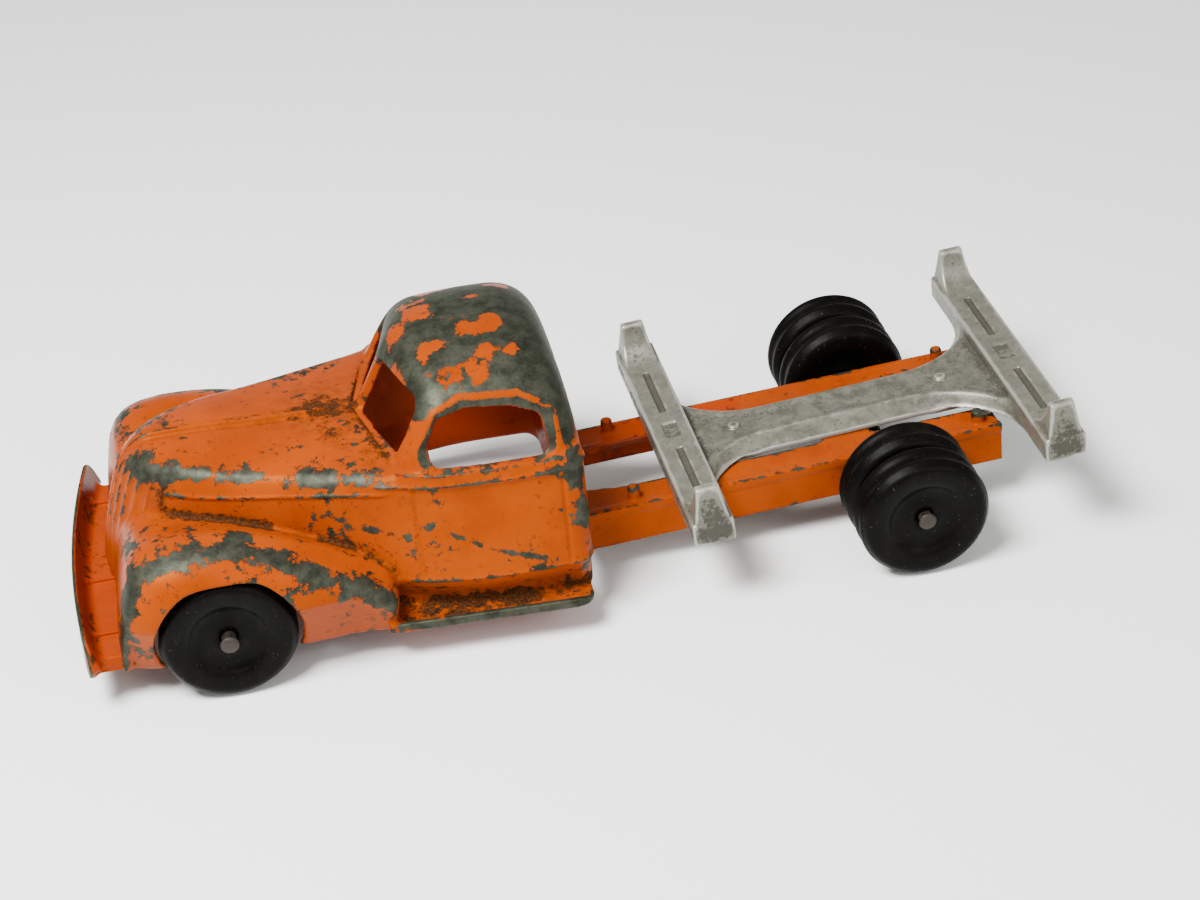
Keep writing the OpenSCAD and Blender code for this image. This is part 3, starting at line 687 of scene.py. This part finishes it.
def wheel_profile():
    """Ridged tread, rounded shoulders, the stepped dish of the disc and the axle hole."""
    half = [(14.6, 0), (14.65, 0.5), (14.85, 1.0), (15.25, 1.6), (15.44, 2.2), (15.4, 2.7),
            (15.1, 3.2), (14.8, 3.6), (14.5, 4.1), (14.05, 4.55), (13.4, 4.85), (12.6, 4.95),
            (11.2, 4.85), (9.9, 4.6), (9.2, 4.35), (8.6, 3.8), (7.9, 3.3), (6.9, 3.05), (5.6, 2.95),
            (4.6, 3.05), (3.9, 3.3), (3.2, 3.35), (2.5, 3.1), (1.9, 2.7), (1.68, 2.4)]
    return half + [(r, -y) for r, y in half[:0:-1]]


def axle_profile(length):
    """A rod of 1.6 mm radius with a flattened head at either end."""
    half = length / 2
    end = [(0, half), (0.6, half), (1.3, half - 0.06), (1.9, half - 0.3), (2.15, half - 0.6),
           (2.1, half - 0.85), (1.75, half - 1.0), (1.6, half - 1.3), (1.6, half - 6), (1.6, 0)]
    return end + [(r, -v) for r, v in end[-2::-1]]


def subdivide(thing):
    finer = thing.modifiers.new("subdivide", "SUBSURF")
    finer.levels = finer.render_levels = 1
    return thing


def build_wheel(name, node, x, y, seed):
    made = subdivide(revolve(name, wheel_profile(), (x, y, AXLE_Z), 160, 0.04, seed))
    return finish(made, node + "_body", node)


def build_axle(name, node, x, length, seed):
    made = subdivide(revolve(name, axle_profile(length), (x, 0, AXLE_Z), 48, 0.05, seed))
    return finish(made, node + "_body", node)


# ---------------------------------------------------------------- materials

class Surface:
    """A material and short ways to add the nodes that feed its shader."""

    def __init__(self, name):
        self.material = bpy.data.materials.new(name)
        self.material.use_nodes = True
        self.tree = self.material.node_tree
        self.shader = self.tree.nodes["Principled BSDF"]
        coords = self.tree.nodes.new("ShaderNodeTexCoord")
        self.place = coords.outputs["Object"]

    def feed(self, socket, value):
        if isinstance(value, bpy.types.NodeSocket):
            self.tree.links.new(value, socket)
        elif hasattr(socket.default_value, "__len__"):
            socket.default_value = (*value, 1)[:len(socket.default_value)]
        else:
            socket.default_value = value

    def set(self, **values):
        for name, value in values.items():
            self.feed(self.shader.inputs[name.replace("_", " ")], value)

    def math(self, op, a, b=0.0, clamp=False):
        node = self.tree.nodes.new("ShaderNodeMath")
        node.operation, node.use_clamp = op, clamp
        self.feed(node.inputs[0], a)
        self.feed(node.inputs[1], b)
        return node.outputs[0]

    def add(self, a, b):
        return self.math("ADD", a, b)

    def times(self, a, b):
        return self.math("MULTIPLY", a, b)

    def ramp(self, value, lo, hi, out_lo=0.0, out_hi=1.0):
        node = self.tree.nodes.new("ShaderNodeMapRange")
        node.interpolation_type = "SMOOTHSTEP"
        values = {"Value": value, "From Min": lo, "From Max": hi, "To Min": out_lo, "To Max": out_hi}
        for key, v in values.items():
            self.feed(node.inputs[key], v)
        return node.outputs["Result"]

    def noise(self, scale, detail=6.0, rough=0.6, offset=0.0, distortion=0.0):
        vector = self.place
        if offset:
            move = self.tree.nodes.new("ShaderNodeMapping")
            move.inputs["Location"].default_value = (offset, offset * 0.7, offset * 1.3)
            self.tree.links.new(vector, move.inputs["Vector"])
            vector = move.outputs["Vector"]
        node = self.tree.nodes.new("ShaderNodeTexNoise")
        self.tree.links.new(vector, node.inputs["Vector"])
        node.inputs["Scale"].default_value = scale
        node.inputs["Detail"].default_value = detail
        node.inputs["Roughness"].default_value = rough
        node.inputs["Distortion"].default_value = distortion
        return node.outputs["Fac"]

    def mark(self, name):
        node = self.tree.nodes.new("ShaderNodeAttribute")
        node.attribute_name = name
        return node.outputs["Fac"]

    def mix_node(self, kind, first_input, output, share, a, b):
        node = self.tree.nodes.new("ShaderNodeMix")
        node.data_type = kind
        self.feed(node.inputs[0], share)
        self.feed(node.inputs[first_input], a)
        self.feed(node.inputs[first_input + 1], b)
        return node.outputs[output]

    def mix(self, share, a, b):
        """The colour that is a where share is 0 and b where it is 1."""
        return self.mix_node("RGBA", 6, 2, share, a, b)

    def blend(self, share, a, b):
        """The same for plain values."""
        return self.mix_node("FLOAT", 2, 0, share, a, b)

    def bump(self, height, strength, distance):
        node = self.tree.nodes.new("ShaderNodeBump")
        node.inputs["Strength"].default_value = strength
        node.inputs["Distance"].default_value = distance
        self.tree.links.new(height, node.inputs["Height"])
        self.tree.links.new(node.outputs["Normal"], self.shader.inputs["Normal"])


ORANGE = (0.255, 0.0355, 0.0001)
ORANGE_WARM = (0.20, 0.0258, 0.0001)
ORANGE_DEEP = (0.10, 0.010, 0.0001)
ORANGE_HAZE = (0.12, 0.022, 0.002)
ORANGE_SPECK = (0.10, 0.014, 0.002)
# Painted shade: the dark red given where the depth mark is low, inside the cab, behind the bumper blade
# and on the far rail's inner face.
INSIDE_SHADE = (0.230, 0.017, 0.0002)
ZINC = (0.016, 0.0175, 0.0122)
ZINC_LIGHT = (0.043, 0.0452, 0.031)
ZINC_SPECK = (0.028, 0.028, 0.022)
DIRT = (0.012, 0.008, 0.005)
CRUMB = (0.060, 0.020, 0.006)
PAINT_SHEEN, ZINC_SHEEN = (1, 0.42, 0.08), (0.9, 0.92, 0.84)
SILVER_DULL, SILVER = (0.098, 0.094, 0.068), (0.198, 0.191, 0.147)
# The second colour here is for ridges: partly rubbed-bright metal, partly painted highlight.
SILVER_WORN, SILVER_RUB_GLINT = (0.34, 0.33, 0.26), (0.36, 0.355, 0.31)
SILVER_SHADE = (0.046, 0.048, 0.038)
GRIME, SPECK = (0.026, 0.022, 0.016), (0.012, 0.011, 0.009)
RUBBER, RUBBER_DUST = (0.0014, 0.0012, 0.0008), (0.011, 0.009, 0.005)
RUBBER_SPECK = (0.035, 0.030, 0.023)
STEEL, RUST = (0.028, 0.020, 0.016), (0.016, 0.009, 0.006)


def painted_casting():
    """Orange enamel, worn through to grey zinc where the wear mark is high, with dirt in the hollows and
    painted shade where the depth mark is low.
    """
    m = Surface("orange_enamel")
    wear, dirt, fine = m.mark("wear"), m.mark("dirt"), m.mark("fine_edge")
    broad = m.noise(95, 8, 0.62, 0.0, distortion=0.4)
    grain = m.noise(900, 4, 0.6, 3.0)
    chips = m.noise(420, 6, 0.7, 1.0)
    level = m.add(m.add(wear, m.times(m.add(broad, -0.5), 1.7)), m.times(m.add(chips, -0.5), 2.1))
    level = m.add(level, m.times(fine, 0.9))
    level = m.add(level, m.times(m.ramp(m.noise(230, 5, 0.65, 15.0), 0.67, 0.72), 0.45))
    bare = m.ramp(level, 0.485, 0.515)
    rim = m.ramp(level, 0.43, 0.50)
    tone = m.noise(60, 5, 0.6, 5.0)
    orange = m.mix(m.ramp(tone, 0.35, 0.7), ORANGE, ORANGE_WARM)
    orange = m.mix(m.times(rim, 0.55), orange, ORANGE_DEEP)
    haze = m.times(m.ramp(dirt, 0.05, 0.5), m.ramp(m.noise(350, 7, 0.7, 14.0), 0.38, 0.66))
    orange = m.mix(m.times(haze, 0.8), orange, ORANGE_HAZE)
    speck = m.ramp(m.noise(700, 3, 0.5, 7.0), 0.64, 0.70)
    orange = m.mix(m.times(speck, 0.5), orange, ORANGE_SPECK)
    metal = m.mix(m.ramp(m.noise(260, 7, 0.7, 2.0), 0.35, 0.65), ZINC, ZINC_LIGHT)
    metal = m.mix(m.ramp(m.noise(1300, 4, 0.6, 4.0), 0.55, 0.68), metal, ZINC_SPECK)
    colour = m.mix(bare, orange, metal)
    # Painted shade: the colour goes towards the dark red shade colour where the depth mark is low.
    colour = m.mix(m.ramp(m.mark("depth"), -0.9, -1.3, 0.0, 0.85), colour, INSIDE_SHADE)
    patchy = m.times(dirt, m.ramp(m.noise(75, 4, 0.6, 19.0), 0.40, 0.60, 0.35, 1.15))
    soot = m.ramp(m.add(patchy, m.times(m.add(m.noise(520, 7, 0.72, 9.0), -0.5), 1.6)), 0.40, 0.60)
    crumbs = m.mix(m.ramp(m.noise(1700, 4, 0.7, 12.0), 0.46, 0.58), DIRT, CRUMB)
    colour = m.mix(m.times(soot, 0.92), colour, crumbs)
    m.set(Base_Color=colour)
    rough = m.blend(bare, m.add(0.24, m.times(grain, 0.16)), m.add(0.36, m.times(grain, 0.25)))
    m.set(Roughness=m.blend(soot, rough, 0.85), Metallic=m.times(bare, 0.55),
          Specular_IOR_Level=0.2, IOR=1.33,
          Specular_Tint=m.mix(bare, PAINT_SHEEN, ZINC_SHEEN))
    height = m.add(m.times(bare, -0.5), m.times(m.noise(240, 5, 0.6, 6.0), 0.35))
    height = m.add(height, m.add(m.times(soot, m.noise(1900, 5, 0.8, 13.0)), m.times(grain, 0.1)))
    m.bump(height, 0.6, 0.00028)
    return m.material


def silver_casting():
    """Dull silver paint, brighter on ridges where it is partly rubbed and partly painted highlight, with
    painted shade on the sides and ends, specked with dirt.
    """
    m = Surface("silver_casting")
    edge = m.mark("edge")
    tone = m.ramp(m.noise(240, 8, 0.75), 0.36, 0.64)
    colour = m.mix(tone, SILVER_DULL, SILVER)
    colour = m.mix(m.times(m.mark("wear"), 0.22), colour, SILVER_WORN)
    spots = m.add(m.noise(900, 8, 0.78, 2.0), m.times(m.add(m.noise(130, 4, 0.6, 21.0), -0.5), 0.35))
    worn = m.add(m.times(edge, -0.6), m.times(m.mark("dirt"), 0.28))
    grime = m.ramp(m.add(spots, worn), 0.56, 0.64)
    # Painted shade on the sides and ends of the casting, from the shade mark.
    colour = m.mix(m.times(m.mark("shade"), 0.62), colour, SILVER_SHADE)
    colour = m.mix(m.times(grime, 0.75), colour, GRIME)
    speck = m.ramp(m.noise(1500, 3, 0.6, 5.0), 0.63, 0.70)
    colour = m.mix(m.times(speck, 0.8), colour, SPECK)
    # Ridges brighter: partly rubbed metal, partly painted highlight.
    rub_glint = m.ramp(m.add(m.mark("fine_edge"), m.times(m.noise(300, 4, 0.6, 8.0), 0.3)), 0.26, 0.40)
    colour = m.mix(m.times(rub_glint, 0.6), colour, SILVER_RUB_GLINT)
    m.set(Base_Color=colour, Metallic=0.45)
    m.set(Roughness=m.blend(grime, m.add(0.32, m.times(tone, 0.14)), 0.75))
    m.bump(m.add(m.times(m.noise(420, 6, 0.65, 3.0), 0.6), m.times(m.noise(1400, 4, 0.6, 1.0), 0.4)),
           0.5, 0.00025)
    return m.material


def wheel_rubber():
    """Hard black rubber with grey dust."""
    m = Surface("black_rubber")
    dust = m.ramp(m.noise(180, 8, 0.72), 0.50, 0.74)
    colour = m.mix(m.times(dust, 0.30), RUBBER, RUBBER_DUST)
    colour = m.mix(m.ramp(m.noise(1500, 3, 0.6, 2.0), 0.67, 0.72), colour, RUBBER_SPECK)
    rough = m.add(0.26, m.times(m.noise(330, 6, 0.7, 4.0), 0.32))
    m.set(Base_Color=colour, Specular_IOR_Level=0.05, Roughness=rough)
    m.bump(m.noise(700, 6, 0.65, 1.0), 0.4, 0.00015)
    return m.material


def axle_steel():
    """Steel gone dull and brown."""
    m = Surface("axle_steel")
    rust = m.ramp(m.noise(700, 7, 0.7), 0.38, 0.62)
    colour = m.mix(rust, STEEL, RUST)
    m.set(Base_Color=colour, Metallic=m.math("SUBTRACT", 0.75, m.times(rust, 0.6)))
    m.set(Roughness=m.add(0.38, m.times(rust, 0.35)))
    m.bump(m.noise(1500, 5, 0.65, 1.0), 0.5, 0.00015)
    return m.material


# ---------------------------------------------------------------- wear and dirt

def points_mm(thing):
    mesh = thing.data
    out = np.empty(len(mesh.vertices) * 3)
    mesh.vertices.foreach_get("co", out)
    return out.reshape(-1, 3) / MM


def read_mark(thing, name):
    values = np.empty(len(thing.data.vertices), dtype=np.float32)
    thing.data.attributes[name].data.foreach_get("value", values)
    return values


def write_mark(thing, name, values):
    layer = thing.data.attributes.get(name) or thing.data.attributes.new(name, "FLOAT", "POINT")
    layer.data.foreach_set("value", np.asarray(values, dtype=np.float32))


def blobs(p, spots):
    """The sum of soft ellipsoids: (centre, three radii, strength)."""
    total = np.zeros(len(p))
    for centre, radii, strength in spots:
        d = ((p - np.array(centre)) / np.array(radii)) ** 2
        total += strength * np.exp(-d.sum(1))
    return total


# soft patches: centre, three radii, strength; the first list is the paint that is left on the roof
ROOF_PAINT = [((29.3, -2.9, 65.5), (3.6, 4.2, 4), -1.4), ((35.2, 1.9, 63.5), (2.8, 2.8, 3), -1.3),
              ((16.4, 7.8, 65.4), (5, 2.2, 3), -1.2), ((13.5, 5.5, 65.5), (2, 3, 3), -1.0),
              ((28, 10.5, 64.2), (3.6, 1.8, 3), -1.2), ((30, 13, 62.6), (1.8, 3, 3), -1.0),
              ((16.6, 15, 62.9), (2.6, 2.6, 3), -1.4), ((10.7, 15.4, 63.0), (2.0, 2.2, 3), -1.1),
              ((20, 17.5, 62.4), (2.2, 2.2, 3), -1.0), ((26, 19.5, 61.2), (3.4, 2.8, 3), -1.4),
              ((18.6, 20.4, 60.4), (2.6, 2.2, 3), -1.2), ((15.8, -6.2, 65.7), (2.5, 1.6, 2), -1.0),
              ((37.0, 12.5, 57.5), (2.6, 6, 6), -1.1), ((8, -14, 64), (4, 3, 3), -1.2),
              ((24, -19, 61), (6, 4, 3), -1.3), ((30, -10, 62), (4, 3, 3), -1.0)]
CAB_WEAR = [((34.0, 25, 53), (2.2, 4, 6), 0.35), ((38.5, 24.5, 48), (2.0, 3, 4), 0.2),
            ((2.4, 27, 55), (4.4, 7, 9), 1.7), ((1.5, 33.4, 40.2), (4, 3, 3.6), 0.8),
            ((0.2, 33.7, 29.5), (3.4, 3, 3.6), 0.75), ((1.5, -31, 42), (5, 6, 7), 0.8),
            ((96.7, 9, 43.5), (4.4, 4.5, 3.6), 0.85), ((91, 13, 43.5), (4, 3, 3), 0.6),
            ((84, 15, 44.5), (8, 3, 2.0), 0.6), ((73, 18.8, 44), (4.4, 3, 2), 0.6),
            ((59, 23.5, 43.2), (6.5, 3, 2.2), 0.62), ((48, 27.3, 42.8), (5.5, 2.5, 1.6), 0.55),
            ((88, -13, 45.5), (7, 2.6, 2), 0.55), ((97, -8, 44.5), (4, 3, 3), 0.55),
            ((62, -21, 44.5), (12, 3, 2), 0.5), ((104.5, 38, 17), (3, 4, 6), 0.75),
            ((102.7, 36.6, 28), (3, 3.5, 5), 0.8), ((98.4, 35, 33.6), (4, 3.2, 2.6), 0.75),
            ((90.8, 34.8, 35.4), (5, 3, 2.2), 0.75), ((82, 34.5, 35.4), (6, 3, 2.4), 0.8),
            ((77, 31, 36), (3.4, 3.4, 2.2), 0.7), ((70.4, 35.5, 32.6), (4.6, 3, 2.6), 0.75),
            ((66, 37, 30.2), (3.4, 3, 2.6), 0.6), ((61.2, 39, 27.6), (3.2, 3, 3), 0.8),
            ((53, 38.4, 23.8), (4, 3, 2.4), 0.8), ((49.4, 39.6, 20), (2.2, 3, 2.6), 0.7),
            ((96.4, 41, 26.5), (4, 3, 4.5), -0.6), ((86, -36, 35), (18, 4, 3), 0.7),
            ((103, -38, 26), (4, 4, 9), 0.6), ((52, -38, 25), (6, 4, 4), 0.6),
            ((47.8, 29.3, 31.2), (2.4, 3, 1.2), 0.85), ((40.1, 31.8, 29.1), (1.2, 3, 1.1), 0.85),
            ((35, 32.8, 31.6), (1.3, 3, 1.2), 0.8), ((56.6, 41.1, 22.2), (0.9, 3, 0.9), 0.8),
            ((12, 37, 19.5), (1.6, 3, 0.9), 0.6), ((22, 33, 41.8), (9, 2, 0.9), 0.3),
            ((9, 33, 41.5), (3.6, 2, 1.4), 0.5), ((34, 32, 40.6), (3, 2, 0.9), 0.5)]
CAB_DIRT = [((93, 13.8, 39.7), (4, 4, 4), 0.60), ((51, 6, 45.6), (8, 14, 3), 0.46),
            ((56, -8, 46), (8, 8, 3), 0.40), ((45, 22, 44), (4, 6, 3), 0.36),
            ((62, 2, 46), (9, 5, 3), 0.26), ((58, 34, 27), (5, 4, 3), 0.2),
            ((74, 0, 46), (20, 12, 4), 0.14), ((85, 27, 37), (10, 4, 3), 0.22)]
SCRATCHES = [((30.9, 34, 29.7), (24.7, 35.5, 26.4)), ((22.5, 36, 25.2), (10.7, 37.1, 21.0))]


def outline_at(u, v, corners):
    """How far points lie outside a convex outline."""
    pts = np.array(corners)
    turn = np.sign(sum(a[0] * b[1] - b[0] * a[1] for a, b in zip(pts, np.roll(pts, -1, 0))))
    far = np.full(u.shape, -np.inf)
    for a, b in zip(pts, np.roll(pts, -1, 0)):
        d = (b - a) / np.linalg.norm(b - a) * turn
        far = np.maximum(far, (u - a[0]) * d[1] - (v - a[1]) * d[0])
    return far


def near_line(p, ends):
    a, b = (np.array(end) for end in ends)
    t = np.clip((p - a) @ (b - a) / ((b - a) @ (b - a)), 0, 1)
    return np.linalg.norm(p - a - t[:, None] * (b - a), axis=1)


def mark_cab(thing):
    """Wear on the roof, shoulders, lips and window reveals, dirt in the channels and folds."""
    p = points_mm(thing)
    x, y, z = p[:, 0], p[:, 1], p[:, 2]
    edge = read_mark(thing, "edge")
    depth = read_mark(thing, "depth")
    outer = smooth_step(-1.0, -0.3, depth)
    roof = smooth_step(55.2, 56.6, z + 0.10 * np.abs(x - 19)) * smooth_step(42, 37, x)
    rim = np.abs(outline_at(x, z, DOOR_BEVEL) - 0.5) < 0.6
    rim = rim * (np.abs(y) > 22) * smooth_step(42.5, 44, z)
    wear = np.clip(edge * 0.6, -0.3, 0.4) - 0.9 * rim + roof + blobs(p, CAB_WEAR + ROOF_PAINT) - 0.14
    for ends in SCRATCHES:
        wear = wear + 0.8 * line_at(near_line(p, ends), 0, 0.8)
    lip = smooth_step(38.6, 39.6, np.abs(y)) * smooth_step(46, 43, x) * smooth_step(11.5, 10.3, z)
    wear = wear + 0.55 * lip
    reveal = smooth_step(-1.5, -1.2, depth) * smooth_step(-0.2, -0.4, depth)
    reveal = reveal * (z > 45.6) * (x < 37) * (x > 4)
    wear = wear * outer - 0.5 * (1 - outer)
    write_mark(thing, "wear", np.maximum(wear, reveal * 0.9))
    channel = smooth_step(13.5, 11.0, z) * smooth_step(46, 42, x) * smooth_step(39.3, 36.6, np.abs(y))
    crest = 0.55 * line_at(y, -1.3, 0.8) * smooth_step(44, 45, z) * smooth_step(48, 56, x)
    skirt = 0.16 * smooth_step(20, 12, z) * smooth_step(42, 38, x)
    dirt = np.clip(-edge * 1.1, 0, 0.75) + blobs(p, CAB_DIRT) + 0.62 * channel + crest + skirt
    write_mark(thing, "dirt", dirt * outer)


def mark_bumper(thing):
    """Shade and dirt behind the blade, where no wear shows."""
    p = points_mm(thing)
    inner = smooth_step(-0.5, -1.0, bow_at(p[:, 0], p[:, 1]))
    blade = inner * (p[:, 2] > 13.6)
    write_mark(thing, "depth", -1.1 * inner - 0.2 * blade)
    write_mark(thing, "dirt", read_mark(thing, "dirt") + 0.3 * inner + 0.1 * blade)
    write_mark(thing, "wear", read_mark(thing, "wear") * (1 - inner) - 0.3 * inner)


def mark_chassis(thing):
    """Shade on the inner face of the far rail, ahead of the rear wheels."""
    p = points_mm(thing)
    inner = (np.abs(p[:, 1]) < RAIL_Y - 0.8) * (p[:, 1] < 0)
    write_mark(thing, "depth", -1.15 * inner * smooth_step(20, 32, p[:, 0] - REAR_AXLE_X))


def mark_log_frame(thing):
    """Painted shade: the sides and ends of the casting are darker than its top, as if less lit."""
    slopes = np.empty(len(thing.data.vertices) * 3, dtype=np.float32)
    thing.data.vertices.foreach_get("normal", slopes)
    up = slopes.reshape(-1, 3)[:, 2]
    end = smooth_step(38.5, 39.8, np.abs(points_mm(thing)[:, 1]))
    write_mark(thing, "shade", smooth_step(0.75, 0.1, up) * (0.55 + 0.45 * end))


def mark_plain(thing, base):
    """Wear on the ridges and dirt in the hollows; base is the wear of a flat face."""
    edge = read_mark(thing, "edge")
    write_mark(thing, "wear", np.clip(edge * 1.4, -0.3, 0.8) + base)
    write_mark(thing, "dirt", np.clip(-edge * 1.5, 0, 1))


# ---------------------------------------------------------------- assembly

def dress(things, material):
    """Gives pieces their material: a CAD node's own slots are filled, a new piece gets one slot."""
    for thing in things:
        if thing.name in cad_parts:
            for slot in thing.material_slots:
                slot.material = material
        else:
            thing.data.materials.append(material)


WHEELS = (("front_left", FRONT_AXLE_X, 35.4), ("front_right", FRONT_AXLE_X, -35.4),
          ("rear_left_outer", REAR_AXLE_X, 36.8), ("rear_left_inner", REAR_AXLE_X, 25.7),
          ("rear_right_outer", REAR_AXLE_X, -36.8), ("rear_right_inner", REAR_AXLE_X, -25.7))

add_camera()
add_studio()
cab = build_cab()
bumper = build_bumper()
chassis = build_chassis()
mark_cab(cab)
mark_plain(bumper, -0.16)
mark_bumper(bumper)
mark_plain(chassis, -0.34)
mark_chassis(chassis)
enamel = painted_casting()
dress([cab, bumper, chassis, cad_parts["front_axle_web"]], enamel)
log_frame = build_log_frame()
mark_log_frame(log_frame)
dress([log_frame, build_feet()], silver_casting())
wheels = [build_wheel(name + "_disc", name + "_wheel", x, y, seed)
          for seed, (name, x, y) in enumerate(WHEELS)]
dress(wheels, wheel_rubber())
axles = [build_axle("front_rod", "front_axle", FRONT_AXLE_X, 83.6, 1),
         build_axle("rear_rod", "rear_axle", REAR_AXLE_X, 84.5, 2)]
dress(axles, axle_steel())
